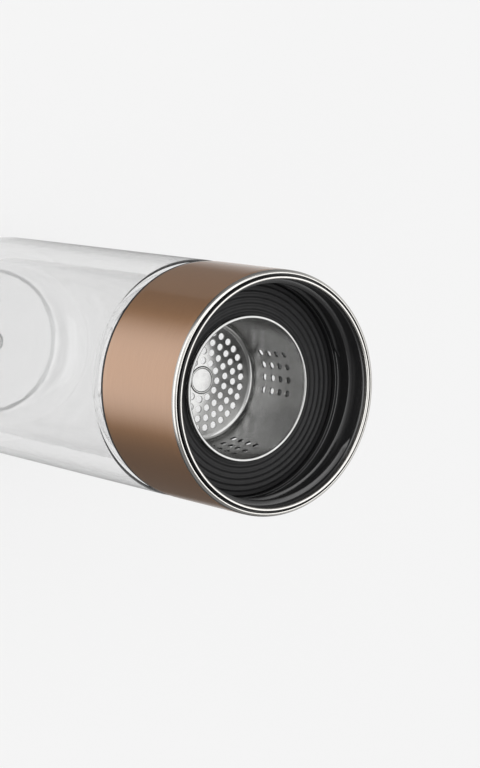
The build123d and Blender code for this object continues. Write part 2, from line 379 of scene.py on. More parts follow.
def groove_painted_shade(material, inner, outer):
    """Paints black between two radii, in millimetres, over a bare steel: painted shade in the groove, and
    a painted dark reflection on the bead's side.
    """
    tree = material.node_tree
    metal = next(node for node in tree.nodes if node.type == "BSDF_PRINCIPLED")
    output = next(node for node in tree.nodes if node.type == "OUTPUT_MATERIAL")
    share = between(tree, radius_of(tree), inner, outer)
    # Painted shade: a black coat between the radii darkens the groove and the bead's outer side.
    groove_shade = add(tree, "BsdfPrincipled", {"Base Color": linear("141414"), "Roughness": 0.35})
    mix = add(tree, "MixShader", {0: share, 1: metal.outputs[0], 2: groove_shade.outputs[0]})
    tree.links.new(mix.outputs[0], output.inputs["Surface"])
    return material


# Radii of the painted black shade, from the bead's outer side to the groove's outer wall.
groove_shade_radii = (30.68, 31.46)
bright_corner, bright_rim = 1.0, 0.9
ring_metal = bare_steel(
    "stainless_polished_groove_shade", "c4c2be", "d2d0cc", roughness=(0.14, 0.20), grain=(2, 2, 2), depth=0.0003
)
ring_metal = groove_painted_shade(ring_metal, *groove_shade_radii)
strainer_metal = bare_steel(
    "stainless_deep_drawn", "a4a4a3", "b8b8b7", roughness=(0.14, 0.18), grain=(1.5, 1.5, 9), depth=0.00004
)
strainer_metal = duller_between(
    strainer_metal, strainer_bottom + bright_corner, strainer_top - bright_rim, extra=0.1
)

# %% [markdown]
# ### Plastic and rubber
# The liner is injection-moulded black polypropylene with a fine spark-eroded surface. The seals are
# silicone: softer, duller, with a skin of dust that greys them a little. The plug in the base is
# clear silicone, so it lets most light through. The mould's grain is drawn at a quarter of a
# millimetre or a little more, a few times coarser than the real one, so that it shows.

# %% Moulded plastic and silicone
def moulded(name, dark, light, roughness, grain, depth, clear=0.0, gloss=0.5):
    """A moulded surface: fine grain in its bump and roughness, and a slow drift in its colour."""
    material, tree, output = new_material(name)
    shader = add(tree, "BsdfPrincipled", {
        "Base Color": clouded(tree, dark, light, (12, 12, 12), 5.0),
        "Transmission Weight": clear, "Specular IOR Level": gloss,
        **grained(tree, (grain, grain, grain), roughness, depth),
    })
    tree.links.new(shader.outputs[0], output.inputs["Surface"])
    return material


liner_plastic = moulded(
    "polypropylene_black_moulded", "101011", "1a1a1b",
    roughness=(0.22, 0.34), grain=0.25, depth=0.004, gloss=1.0,
)
seal_rubber = moulded(
    "silicone_black_moulded", "171718", "242425", roughness=(0.50, 0.66), grain=0.3, depth=0.004
)
plug_rubber = moulded(
    "silicone_clear_moulded", "f4f5f4", "fafbfa",
    roughness=(0.06, 0.12), grain=0.4, depth=0.001, clear=0.98,
)

# %% [markdown]
# ## The double-walled glass
# On the real bottle two blown walls are fused at the neck and then sealed through the base, so the
# glass is one piece with a hollow inside. Two closed meshes that touch at the seam would show a wall
# of their own there. So the outline runs once round the whole section: hollow side of the vessel,
# hollow side of the body, vent hole, foot, body, shoulder, neck, and back down the inside.
#
# The punt is the cone pushed up inside the foot. Its two sides are a wall apart along their normal, so
# the upper side's corners are shifted outwards by the wall times the tangent of half the cone's slope.

# %% Glass sizes
outer_wall, inner_wall, neck_wall = 1.8, 1.6, 2.4
neck_radius = 24.2
neck_bore = neck_radius - neck_wall
foot_corner, shoulder_corner, shoulder_hollow = 9.0, 4.25, 3.1
vessel_corner, vessel_turn, seam_turn = 8.0, 7.0, 1.2
foot_inner, foot_edge, punt_flat, punt_height, punt_fillet = 22.2, 0.4, 14.0, 3.0, 8.0
vent_radius, vent_edge = 2.0, 0.2
vessel_shoulder_drop, vessel_throat_drop = 9.0, 3.5
vessel_shoulder, vessel_throat = seam_height - vessel_shoulder_drop, seam_height - vessel_throat_drop
bead_drop, bead_flat, bead_slope, bead_depth, bead_fillet = 3.4, 1.6, 0.8, 0.8, 0.6
bead_middle = lip_height - bead_drop
neck_foot_fillet, lip_fillet = 1.0, 0.8
shoulder_height = cushion_bottom
punt_slope = math.atan2(punt_height, foot_inner - punt_flat)
punt_shift = outer_wall * math.tan(punt_slope / 2)
print("neck bore", round(neck_bore, 2), "vessel depth", round(seam_height - vessel_floor, 2), "mm")

# %% Glass outline
hollow_side = [
    (0, vessel_floor, 0),
    (vessel_radius, vessel_floor, vessel_corner),
    (vessel_radius, vessel_shoulder, vessel_turn),
    (neck_radius, vessel_throat, vessel_turn),
    (neck_radius, seam_height, seam_turn),
    (body_radius - outer_wall, seam_height, shoulder_hollow),
    (body_radius - outer_wall, outer_wall, foot_corner - outer_wall),
    (foot_inner + punt_shift, outer_wall, foot_edge),
    (punt_flat + punt_shift, punt_height + outer_wall, punt_fillet),
    (vent_radius, punt_height + outer_wall, vent_edge),
]
outer_side = [
    (vent_radius, punt_height, vent_edge),
    (punt_flat, punt_height, punt_fillet),
    (foot_inner, 0, foot_edge),
    (body_radius, 0, foot_corner),
    (body_radius, shoulder_height, shoulder_corner),
    (neck_radius, shoulder_height, neck_foot_fillet),
    (neck_radius, bead_middle - bead_flat / 2 - bead_slope, bead_fillet),
    (neck_radius + bead_depth, bead_middle - bead_flat / 2, bead_fillet),
    (neck_radius + bead_depth, bead_middle + bead_flat / 2, bead_fillet),
    (neck_radius, bead_middle + bead_flat / 2 + bead_slope, bead_fillet),
    (neck_radius, lip_height, lip_fillet),
    (neck_bore, lip_height, lip_fillet),
]
drink_side = [
    (neck_bore, vessel_throat, vessel_turn),
    (vessel_radius - inner_wall, vessel_shoulder, vessel_turn),
    (vessel_radius - inner_wall, vessel_floor + inner_wall, vessel_corner - inner_wall),
    (0, vessel_floor + inner_wall, 0),
]
glass_piece = turned(
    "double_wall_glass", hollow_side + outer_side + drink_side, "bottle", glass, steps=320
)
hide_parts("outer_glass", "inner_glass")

# %% [markdown]
# ## The rim ring
# A turned ring closes the mouth: a low land with a round shoulder, a deep narrow groove, and a raised
# bead at the bore. The CAD outline is kept, and its groove gets the small edge breaks that a lathe
# tool leaves.

# %% Ring
ring_bore, lip_width, lip_rise, lip_round = 30.0, 1.0, 0.55, 0.45
groove_width, groove_depth, edge_break, land_round = 0.45, 0.7, 0.06, 0.9
land_height = ring_top - lip_rise
ring_corners = [
    (ring_bore, collar_top, edge_break),
    (ring_radius, collar_top, edge_break),
    (ring_radius, land_height, land_round),
    (ring_bore + lip_width + groove_width, land_height, edge_break),
    (ring_bore + lip_width + groove_width, land_height - groove_depth, edge_break),
    (ring_bore + lip_width, land_height - groove_depth, edge_break),
    (ring_bore + lip_width, ring_top, lip_round),
    (ring_bore, ring_top, lip_round),
]
ring_piece = turned(
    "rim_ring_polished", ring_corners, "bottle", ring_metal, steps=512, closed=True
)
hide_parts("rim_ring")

# %% [markdown]
# ## The cushion
# A flat silicone ring parts steel and plastic from the glass shoulder. Its bore is opened to 27 mm
# here, so that the light that comes up through the shoulder reaches the strainer's lower holes.

# %% Cushion
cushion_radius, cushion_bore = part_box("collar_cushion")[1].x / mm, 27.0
cushion_edge, cushion_bore_edge = 0.15, 0.1
cushion_corners = [
    (cushion_bore, cushion_bottom, cushion_bore_edge),
    (cushion_radius, cushion_bottom, cushion_edge),
    (cushion_radius, collar_bottom, cushion_edge),
    (cushion_bore, collar_bottom, cushion_bore_edge),
]
cushion_piece = turned(
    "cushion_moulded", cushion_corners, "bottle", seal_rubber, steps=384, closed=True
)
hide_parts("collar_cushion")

# %% [markdown]
# ## The sleeve
# The steel tube is rolled in a little at both ends, by an eighth of a millimetre over its last
# millimetre and a half, so a faint edge of another tone runs round above the cushion and below the
# ring. A cylinder with a Bevel modifier would do, but its outline is as short to write.

# %% Sleeve
sleeve_wall, roll_depth, roll_length, roll_fillet, roll_edge = 0.55, 0.12, 1.5, 12.0, 0.12
sleeve_bore = body_radius - sleeve_wall
sleeve_corners = [
    (sleeve_bore, collar_bottom, edge_break),
    (body_radius - roll_depth, collar_bottom, roll_edge),
    (body_radius, collar_bottom + roll_length, roll_fillet),
    (body_radius, collar_top - roll_length, roll_fillet),
    (body_radius - roll_depth, collar_top, roll_edge),
    (sleeve_bore, collar_top, edge_break),
]
sleeve_piece = turned(
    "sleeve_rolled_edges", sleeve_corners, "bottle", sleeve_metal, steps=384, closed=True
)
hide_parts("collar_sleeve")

# %% [markdown]
# ## The liner
# The moulded liner is one turned section too: threaded cup above, flange over the glass lip, two
# skirts round the neck. The inner skirt has a groove that snaps over the neck's bead, and it stops
# short of the shoulder, so that light comes in through the glass below it to the strainer's lower
# holes. Its edges are rounded as the mould's are, for each rounding draws a fine line of light in the
# black mouth.

# %% Liner
flange_thickness, liner_inset = 1.6, 0.6
flange_top, flange_bottom = seal_bottom, seal_bottom - flange_thickness
liner_radius, thread_bore, seat_bore, flange_bore = body_radius - liner_inset, 29.8, 28.9, 19.9
outer_skirt, inner_skirt, skirt_bore = 30.2, 26.3, 24.5
skirt_rise, seat_rise, lead_in = 5.5, 0.2, 0.3
skirt_low, seat_height = collar_bottom + skirt_rise, strainer_top + seat_rise
snap_half, snap_slope, snap_depth = 1.0, 0.8, 0.7
top_edge, mould_edge, soft_edge, seat_edge, skirt_fillet = 0.05, 0.1, 0.2, 0.35, 0.5
liner_corners = [
    (skirt_bore, skirt_low, soft_edge),
    (inner_skirt, skirt_low, soft_edge),
    (inner_skirt, flange_bottom, skirt_fillet),
    (outer_skirt, flange_bottom, skirt_fillet),
    (outer_skirt, collar_bottom, mould_edge),
    (liner_radius, collar_bottom, mould_edge),
    (liner_radius, collar_top, top_edge),
    (thread_bore + lead_in, collar_top, top_edge),
    (thread_bore, collar_top - lead_in, soft_edge),
    (thread_bore, seat_height, seat_edge),
    (seat_bore, seat_height, soft_edge),
    (seat_bore, flange_top, mould_edge),
    (flange_bore, flange_top, soft_edge),
    (flange_bore, flange_bottom, soft_edge),
    (skirt_bore, flange_bottom, mould_edge),
    (skirt_bore, bead_middle + snap_half + snap_slope, mould_edge),
    (skirt_bore + snap_depth, bead_middle + snap_half, soft_edge),
    (skirt_bore + snap_depth, bead_middle - snap_half, soft_edge),
    (skirt_bore, bead_middle - snap_half - snap_slope, mould_edge),
]
liner_piece = turned(
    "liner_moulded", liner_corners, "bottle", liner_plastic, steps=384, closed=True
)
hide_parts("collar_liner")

# %% [markdown]
# ## The ribbed seal
# A silicone floor with five round ribs lies in the mouth, and the cap's edge presses on it. The CAD
# ribs have flat sides. Here each rib is a low ridge whose crest and feet are fillets, as a moulded
# rib's are, so it shades as a soft wave.

# %% Seal
seal_bore, seal_bore_fillet, seal_rim_fillet = 19.35, 0.2, 0.3
first_rib, rib_pitch, rib_count, rib_half = 20.7, 1.6, 5, 0.6
rib_height, rib_fillet, crest_drop = 0.4, 0.5, 0.06
seal_top = seal_rib_top - rib_height
seal_corners = [
    (seal_bore, seal_top, seal_bore_fillet), (seal_bore, seal_bottom, mould_edge),
    (seal_radius, seal_bottom, mould_edge), (seal_radius, seal_top, seal_rim_fillet),
]
for rib in reversed(range(rib_count)):
    middle = first_rib + rib * rib_pitch
    seal_corners += [
        (middle + rib_half, seal_top, rib_fillet),
        (middle, seal_rib_top - crest_drop, rib_fillet),
        (middle - rib_half, seal_top, rib_fillet),
    ]
seal_piece = turned(
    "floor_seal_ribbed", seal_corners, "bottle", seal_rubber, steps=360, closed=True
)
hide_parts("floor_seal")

# %% [markdown]
# ## The cap thread
# Two ridges wind down inside the liner, half a turn apart, for a two-start cap. They could be cut from
# the liner with a Boolean, but a ridge on its own surface is lighter and smoother: a rounded section
# carried along a helix, shrinking to nothing at both ends.

# %% Grid faces
def loop_faces(rows, count, offset=0):
    """Quads between closed rings of points, row after row."""
    i, j = np.meshgrid(np.arange(rows - 1), np.arange(count), indexing="ij")
    low, after = i * count + j, i * count + (j + 1) % count
    return offset + np.stack([low, after, after + count, low + count], axis=-1).reshape(-1, 4)


# %% Thread ridges
thread_depth, thread_lead, thread_drop, thread_below = 1.2, 9.4, 8.4, 2.85
ridge_half, ridge_sink, ridge_back = 0.95, 0.05, 0.4
end_share, flank_share, end_width_share = 0.025, 0.42, 0.35
thread_start = ring_top - thread_below
thread_azimuth, ridge_sharp = math.radians(-27), math.radians(60)


def thread_ridge(start, steps=300, across=13):
    """One ridge of the thread: its section as a closed ring of points at each step of the way.

    Along the way the angle goes from start downwards round the axis, and the height falls by one lead a
    turn. Across the ridge a flat-topped cosine bell gives its depth, and two more points close it behind
    the liner's face. Depth and width rise from nothing by an S-curve over the first and last share.
    """
    way = np.linspace(0, 1, steps)[:, None]
    side = np.append(np.linspace(-1, 1, across), [1, -1])[None, :]
    ease = np.clip(np.minimum(way, 1 - way) / end_share, 0, 1)
    ease = ease * ease * (3 - 2 * ease)
    turn = way * thread_drop / thread_lead
    angle = start - 2 * math.pi * turn
    bell = 0.5 - 0.5 * np.cos(math.pi * np.clip((1 - np.abs(side)) / flank_share, 0, 1))
    radius = thread_bore + ridge_sink - (thread_depth + ridge_sink) * bell * ease
    radius[:, across:] += ridge_back
    half_width = ridge_half * (end_width_share + (1 - end_width_share) * ease)
    height = thread_start - thread_lead * turn + side * half_width
    grid = np.stack(np.broadcast_arrays(radius * np.cos(angle), radius * np.sin(angle), height), axis=-1)
    return grid * mm


ridges = [thread_ridge(thread_azimuth + half_turn) for half_turn in (0, math.pi)]
steps, across = ridges[0].shape[:2]
faces = []
for k in range(len(ridges)):
    first = k * steps * across
    last = first + (steps - 1) * across
    faces += loop_faces(steps, across, first)[:, ::-1].tolist()
    faces += [list(range(first, first + across)), list(range(last, last + across))[::-1]]
thread_piece = piece_from(
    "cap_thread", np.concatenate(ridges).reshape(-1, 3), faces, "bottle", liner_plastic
)
thread_piece.data.shade_smooth()
thread_piece.data.set_sharp_from_angle(angle=ridge_sharp)

# %% [markdown]
# ## The strainer
# The strainer is one deep-drawn sheet: floor, round corner, tapered wall and rolled rim, with holes
# punched in rings in the floor and in four square fields in the wall. A Boolean would leave long thin
# faces round every hole. Instead each hole has a cell of its own: rings of points lead from the cell's
# edge to the hole's circle, on the inside and on the outside of the sheet, and a short round-edged
# tube joins the two. Cells and plain stretches meet at shared points and are merged. The holes are a
# little wider than in the CAD, as they look on the real strainer with their broken edges.

# %% Strainer sizes
sheet, bead = 0.5, 0.5
rim_bore, floor_radius, corner_radius = 18.6, 16.9, 1.8
rim_height = strainer_top - bead
floor_top = strainer_bottom + sheet
floor_hole, floor_pitch, floor_turn = 0.92, 2.65, math.radians(23.4)
wall_hole, wall_pitch, wall_drop = 0.88, 3.23, 6.2
wall_columns, wall_rows, wall_fields = 4, 4, 4
column_angle, field_turn = math.radians(11.5), math.radians(6)
print("strainer depth", round(strainer_top - floor_top, 2), "mm")

# %% Cells round the holes
def holed_cell(edge, centre, radius, rings=3):
    """Points of a flat cell with a hole: rings from the cell's edge to the hole's circle.

    Each edge point is joined to the circle's point in its own direction. Ring k lies at the share
    1 - (1 - k / rings) ** 2 of that way, so that the rings crowd towards the hole. The last row is
    the circle of the hole itself, inside the broken edge.
    """
    out = edge - centre
    out = out / np.linalg.norm(out, axis=1)[:, None]
    circle = centre + (radius + edge_break) * out
    share = (1 - (1 - np.linspace(0, 1, rings + 1)) ** 2)[:, None, None]
    flat = edge[None] * (1 - share) + circle[None] * share
    return np.concatenate([flat, (centre + radius * out)[None]])


sheet_points, sheet_faces = [], []


def patch(points, faces, flip=False):
    """Adds a patch of the sheet's skin."""
    start = sum(len(part) for part in sheet_points)
    sheet_points.append(points.reshape(-1, 3))
    sheet_faces.extend(((faces[:, ::-1] if flip else faces) + start).tolist())


def punched(cells, inside, outside):
    """A cell with its hole: both sides of the sheet, and the tube between them with broken edges."""
    near, far = inside(cells), outside(cells)
    rings, count = cells.shape[0] - 1, cells.shape[1]
    patch(near[:-1], loop_faces(rings, count))
    patch(far[:-1], loop_faces(rings, count), True)
    share = edge_break / sheet
    upper = near[-1] * (1 - share) + far[-1] * share
    lower = near[-1] * share + far[-1] * (1 - share)
    patch(np.array([near[-2], upper, lower, far[-2]]), loop_faces(4, count))


# %% [markdown]
# The floor's cells are sectors of rings. Ring k has six holes times k, so its neighbours have other
# counts. The circle between two rings gets a point at every side of both rings' cells. In the middle
# the sheet is pressed up to a round boss with a raised rim, and round its foot the floor rises a hair
# towards it, which draws the soft shade that the real one has there.

# %% Sides of the strainer's floor
rings_of_holes = [2, 3, 4, 5]
circle_counts = {1: 72, 2: 72, 3: 144, 4: 240, 5: 120}
inner_edge, outer_edge = (rings_of_holes[0] - 0.5) * floor_pitch, (rings_of_holes[-1] + 0.5) * floor_pitch
side_points = 3
boss_radius, boss_height, boss_foot_height, boss_plate_share = 3.72, 0.4, 0.035, 0.35
boss_edge_width, boss_rim_middle, boss_rim_half = 0.12, 3.42, 0.24


def boss_lift(radius):
    """Height of the pressed boss at a distance from the axis.

    The plate rises over the boss's edge by an S-curve, the rim is a flat-topped bell, exp(-x ** 4), on
    top of it, and the foot fades out as a square towards the first ring of cells.
    """
    edge = np.clip((boss_radius - radius) / boss_edge_width, 0, 1)
    plate = edge * edge * (3 - 2 * edge)
    rim = np.exp(-((radius - boss_rim_middle) / boss_rim_half) ** 4)
    foot = 1 - np.clip((radius - boss_radius) / (inner_edge - boss_radius), 0, 1)
    raised = boss_plate_share * plate + (1 - boss_plate_share) * rim
    return (boss_height - boss_foot_height) * raised + boss_foot_height * foot ** 2


def floor_side(height):
    """A map from flat floor points to the sheet's side at that height."""
    def place(xy):
        radius = np.linalg.norm(xy, axis=-1)
        return np.concatenate([xy, (height + boss_lift(radius))[..., None]], axis=-1)
    return place


def polar(radius, angle):
    """Flat points from radii and angles."""
    radius, angle = np.broadcast_arrays(radius, angle)
    return np.stack([radius * np.cos(angle), radius * np.sin(angle)], axis=-1)


inside_floor, outside_floor = floor_side(floor_top), floor_side(strainer_bottom)

# %% Holed cells of the floor
for ring in rings_of_holes:
    inner, outer = (ring - 0.5) * floor_pitch, (ring + 0.5) * floor_pitch
    holes = 6 * ring
    inner_points, outer_points = circle_counts[ring - 1] // holes, circle_counts[ring] // holes
    half = math.pi / holes
    for hole in range(holes):
        middle = floor_turn + hole * 2 * half
        low = polar(inner, middle + np.linspace(half, -half, inner_points + 1))
        high = polar(outer, middle + np.linspace(-half, half, outer_points + 1))
        side = np.linspace(inner, outer, side_points + 2)[1:-1]
        edge = np.vstack([high, polar(side[::-1], middle + half), low, polar(side, middle - half)])
        cells = holed_cell(edge, polar(ring * floor_pitch, middle), floor_hole)
        punched(cells, inside_floor, outside_floor)
print("floor holes", sum(6 * ring for ring in rings_of_holes))

# %% [markdown]
# The middle of the floor holds the boss, so it is a plain polar grid: fine from the first ring of
# cells to inside the boss's rim, and coarse on the flat plate within. Its outer circle has the points
# of the first ring of cells.

# %% Middle of the floor
rim_steps, plate_steps, plate_outer, plate_inner, boss_rim_inner = 30, 5, 2.4, 0.4, 2.8
middle_radii = np.concatenate([
    np.linspace(inner_edge, boss_rim_inner, rim_steps),
    np.linspace(plate_outer, plate_inner, plate_steps), [0.0],
])
middle_turn = floor_turn - math.pi / (6 * rings_of_holes[0])
middle_angles = middle_turn + np.arange(circle_counts[1]) * 2 * math.pi / circle_counts[1]
middle_grid = polar(middle_radii[:, None], middle_angles[None, :])
middle_faces = loop_faces(*middle_grid.shape[:2])
patch(inside_floor(middle_grid), middle_faces)
patch(outside_floor(middle_grid), middle_faces, True)
print("boss stands", round(float(boss_lift(middle_radii).max()), 3), "mm high")

# %% [markdown]
# The wall is unrolled: angle across, height up. Sixteen columns of the four fields have holes, and
# sixteen plain ones lie between the fields. The rows above and below the fields are plain rings that
# use the same angles, and the profile of those rings is the outline with its corner and rolled rim.

# %% Sides of the wall
cell_steps = 6


def inside_wall(flat):
    """Points inside the cup from angle and height: a cone from the floor's radius to the rim's."""
    angle, height = flat[..., 0], flat[..., 1]
    radius = floor_radius + (height - floor_top) * (rim_bore - floor_radius) / (rim_height - floor_top)
    return np.stack([radius * np.cos(angle), radius * np.sin(angle), height], axis=-1)


def outside_wall(flat):
    """The same outside the sheet, on the cone from the bottom's edge to the rim."""
    angle, height = flat[..., 0], flat[..., 1]
    rise = (rim_bore - floor_radius) / (rim_height - strainer_bottom)
    radius = floor_radius + sheet + (height - strainer_bottom) * rise
    return np.stack([radius * np.cos(angle), radius * np.sin(angle), height], axis=-1)


def wall_hole_cell(middle_angle, middle_height):
    """A holed cell whose edge is a rectangle of angle by height, made in millimetres and unrolled."""
    reach = np.linalg.norm(inside_wall(np.array([0.0, middle_height]))[:2]) + sheet / 2
    half_wide, half_high = column_angle / 2 * reach, wall_pitch / 2
    step = np.linspace(-1, 1, cell_steps + 1)[:-1]
    one = np.ones(cell_steps)
    edge = np.vstack([
        np.column_stack([step, -one]), np.column_stack([one, step]),
        np.column_stack([-step, one]), np.column_stack([-one, -step]),
    ]) * (half_wide, half_high)
    flat = holed_cell(edge, np.zeros(2), wall_hole)
    return np.stack([middle_angle + flat[..., 0] / reach, middle_height + flat[..., 1]], axis=-1)


# %% Columns and rows of the wall
plain_angle = (2 * math.pi / wall_fields - wall_columns * column_angle) / wall_columns
columns = []
for field in range(wall_fields):
    start = field_turn + field * 2 * math.pi / wall_fields - wall_columns / 2 * column_angle
    columns += [(start + k * column_angle, column_angle, True) for k in range(wall_columns)]
    start += wall_columns * column_angle
    columns += [(start + k * plain_angle, plain_angle, False) for k in range(wall_columns)]
wall_angles = np.concatenate([
    start + wide * np.arange(cell_steps) / cell_steps for start, wide, _ in columns
])
field_top = rim_height - wall_drop + wall_pitch / 2
field_bottom = field_top - wall_rows * wall_pitch
print("wall columns", len(columns), "fields from", round(field_bottom, 2), "to", round(field_top, 2), "mm")

# %% Cells of the wall
row_steps = np.linspace(0, 1, cell_steps + 1)
for start, wide, holed in columns:
    for row in range(wall_rows):
        top = field_top - row * wall_pitch
        if holed:
            cells = wall_hole_cell(start + wide / 2, top - wall_pitch / 2)
            punched(cells, inside_wall, outside_wall)
        else:
            heights = top - wall_pitch * row_steps
            flat = np.stack(np.meshgrid(heights, start + wide * row_steps, indexing="ij")[::-1], axis=-1)
            i, j = np.meshgrid(np.arange(cell_steps), np.arange(cell_steps), indexing="ij")
            low = (i * (cell_steps + 1) + j).reshape(-1, 1)
            faces = low + [[0, 1, cell_steps + 2, cell_steps + 1]]
            patch(inside_wall(flat), faces, True)
            patch(outside_wall(flat), faces)
print("wall holes", wall_fields * wall_columns * wall_rows)

# %% [markdown]
# The sheet is drawn round a corner at the floor and rolled outwards at the rim until its edge meets
# the wall again. The roll is pressed a little flat, so its section is squarer than a circle: a
# superellipse, whose points are the cosine and sine of the angle, each raised to a power below 1.

# %% Corner and rolled rim
corner_steps, roll_steps, roll_power, neck_steps = 8, 22, 0.7, 5


def swept_rings(profile):
    """Rings at the wall's angles through the profile's points of radius and height."""
    angles = np.broadcast_to(wall_angles, (len(profile), len(wall_angles)))
    return np.stack([
        profile[:, :1] * np.cos(angles), profile[:, :1] * np.sin(angles),
        np.broadcast_to(profile[:, 1:], angles.shape),
    ], axis=-1)


def wall_point(side, height):
    """Radius and height of a side of the wall at a height."""
    return side(np.array([0.0, height]))[0], height


land_width = 0.2
land_edge = outer_edge + land_width
inside_low = outline_of([
    (land_edge, floor_top, 0), (floor_radius, floor_top, corner_radius),
    (*wall_point(inside_wall, field_bottom), 0),
], corner_steps)[0]
outside_low = outline_of([
    (land_edge, strainer_bottom, 0), (floor_radius + sheet, strainer_bottom, corner_radius + sheet),
    (*wall_point(outside_wall, field_bottom), 0),
], corner_steps)[0]
roll = np.linspace(math.pi, -math.pi / 2, roll_steps)[:, None]
bead_x, bead_z = (np.sign(part) * np.abs(part) ** roll_power for part in (np.cos(roll), np.sin(roll)))
bead_points = np.hstack([rim_bore + bead + bead * bead_x, rim_height + bead * bead_z])
top_steps = np.linspace(0, 1, neck_steps)[:-1, None]
inside_top = np.array([wall_point(inside_wall, field_top)])
outside_top = np.array([wall_point(outside_wall, field_top)])
upper = np.vstack([
    inside_top * (1 - top_steps) + bead_points[:1] * top_steps, bead_points,
    bead_points[-1:] * (1 - top_steps[1:]) + outside_top * top_steps[1:], outside_top,
])
for profile, flip in ((inside_low, True), (outside_low, False), (upper, True)):
    rings = swept_rings(profile)
    patch(rings, loop_faces(*rings.shape[:2]), flip)
print("rim's outer radius", round(float(upper[:, 0].max()), 2), "mm")

# %% [markdown]
# Between the last ring of holes and the round corner lies a narrow land. Its inner circle has the
# points of the floor's cells and its outer circle those of the wall, so the two are zipped together
# with triangles.

# %% Land of the floor
def zipped(inner, outer):
    """Triangles between two circles of unlike counts, from the angles of their points.

    In the order of all angles, each point closes a triangle with the last point that was passed on
    either circle. The inner circle's points are numbered first.
    """
    order = np.argsort(np.concatenate([inner, outer]) % (2 * math.pi), kind="stable")
    on_inner = order < len(inner)
    last_inner = order[on_inner][np.cumsum(on_inner) - 1]
    last_outer = order[~on_inner][np.cumsum(~on_inner) - 1]
    return np.column_stack([last_inner, last_outer, np.roll(order, -1)])


land_points = circle_counts[rings_of_holes[-1]]
land_turn = floor_turn - math.pi / (6 * rings_of_holes[-1])
floor_angles = land_turn + np.arange(land_points) * 2 * math.pi / land_points
for side, flip in ((inside_floor, False), (outside_floor, True)):
    circles = [polar(outer_edge, floor_angles), polar(land_edge, wall_angles)]
    patch(side(np.vstack(circles)), zipped(floor_angles, wall_angles), flip)

# %% [markdown]
# Last, the patches are welded: points that lie closer than two thousandths of a millimetre become
# one, and the count of open edges shows whether the sheet has closed. Punched edges stay sharp, and
# all that turns less than the limit shades smoothly.

# %% Weld the sheet
weld_gap, punched_sharp = 0.002, math.radians(32)


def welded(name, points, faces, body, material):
    """One mesh from patches that share their border points, which are merged."""
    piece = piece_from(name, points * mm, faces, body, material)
    work = bmesh.new()
    work.from_mesh(piece.data)
    bmesh.ops.remove_doubles(work, verts=work.verts, dist=weld_gap * mm)
    bmesh.ops.recalc_face_normals(work, faces=work.faces)
    print(name, "open edges", sum(e.is_boundary for e in work.edges), "of", len(work.edges))
    work.to_mesh(piece.data)
    work.free()
    piece.data.shade_smooth()
    piece.data.set_sharp_from_angle(angle=punched_sharp)
    return piece


strainer_piece = welded(
    "perforated_strainer", np.vstack(sheet_points), sheet_faces,
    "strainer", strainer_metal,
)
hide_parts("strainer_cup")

# %% [markdown]
# ## Frame pieces that stay
# The gasket and the plug have the right shape in the frame, so they keep their meshes and only get
# their finish.

# %% Finish the frame's own pieces
for node, material in (("neck_gasket", seal_rubber), ("base_plug", plug_rubber)):
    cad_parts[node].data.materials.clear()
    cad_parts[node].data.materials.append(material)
    print(node, "gets", material.name)

# %% [markdown]
# ## Floor, light and camera
# The floor is plain and pale. Seen directly, in a reflection or through glass it mostly glows evenly,
# and a share of it is a plain diffuse floor that keeps the bottle's shadow.
#
# Metal shows its form only where pale and dark stand side by side in the room, and so does clear
# glass. So the camera sees a pale room, but blurred reflections, as in brushed or drawn steel, see
# another: pale in front and behind, dim to both sides as between two dark screens, with a grey wall
# behind the left screen. High up on the left its sky is bright, which shows inside the strainer. Sharp
# reflections in clear glass see a room that darkens from front to back, and that draws the thin grey
# lines along the glass edges. Azimuths are counted in degrees from +X, and the camera stands at 167.

# %% Directions in the room
front_azimuth, left_azimuth, wall_azimuth = 170, 80, 7
screen_share, open_share = 0.6, 0.97
wall_greys = ((0.0, 0.0), (0.03, 0.24), (0.7, 0.22), (0.85, 0.5), (1.0, 1.0))


def along(tree, way, azimuth):
    """How far a direction points to an azimuth in degrees: the cosine of the angle between them."""
    flat = add(tree, "VectorMath", {0: way, 1: (1, 1, 0)}, operation="MULTIPLY")
    flat = add(tree, "VectorMath", {0: flat.outputs[0]}, operation="NORMALIZE")
    axis = (math.cos(math.radians(azimuth)), math.sin(math.radians(azimuth)), 0)
    pointing = add(tree, "VectorMath", {0: flat.outputs[0], 1: axis}, operation="DOT_PRODUCT")
    return pointing.outputs["Value"]


def open_side(tree, way, dim):
    """Level of the room in a direction: 1 in front and behind, and dim to both sides.

    The left screen ends at azimuth 97, a right angle from the grey wall's brightest end. From there on
    the level is the brighter one of screen and wall.
    """
    size = add(tree, "Math", {0: along(tree, way, front_azimuth)}, operation="ABSOLUTE")
    level = add(tree, "MapRange", {
        "Value": size.outputs[0], "From Min": screen_share, "From Max": open_share,
        "To Min": dim, "To Max": 1.0,
    }, interpolation_type="SMOOTHSTEP")
    wall = add(tree, "ValToRGB", {"Fac": along(tree, way, wall_azimuth)})
    for position, grey in wall_greys:
        stop = wall.color_ramp.elements.new(position)
        stop.color = (grey, grey, grey, 1)
    wall.color_ramp.elements.remove(wall.color_ramp.elements[-1])
    left = add(tree, "Math", {0: along(tree, way, left_azimuth), 1: 0.0}, operation="GREATER_THAN")
    wall = add(tree, "Math", {0: wall.outputs[0], 1: left.outputs[0]}, operation="MULTIPLY")
    return add(tree, "Math", {0: level.outputs[0], 1: wall.outputs[0]}, operation="MAXIMUM").outputs[0]


# %% [markdown]
# Cycles tells a shader which kind of ray asks. A glossy ray that isn't singular comes from a rough
# surface, and a singular reflection comes from a perfectly smooth one, here the glass.

# %% Rays that see another room
glass_room_back, glass_room_front = 0.2, 1.2


def blurred(tree):
    """1 for a reflection that is blurred, as from brushed metal, and 0 for any other ray."""
    path = add(tree, "LightPath").outputs
    return add(tree, "Math", {
        0: path["Is Glossy Ray"], 1: path["Is Singular Ray"],
    }, operation="SUBTRACT").outputs[0]


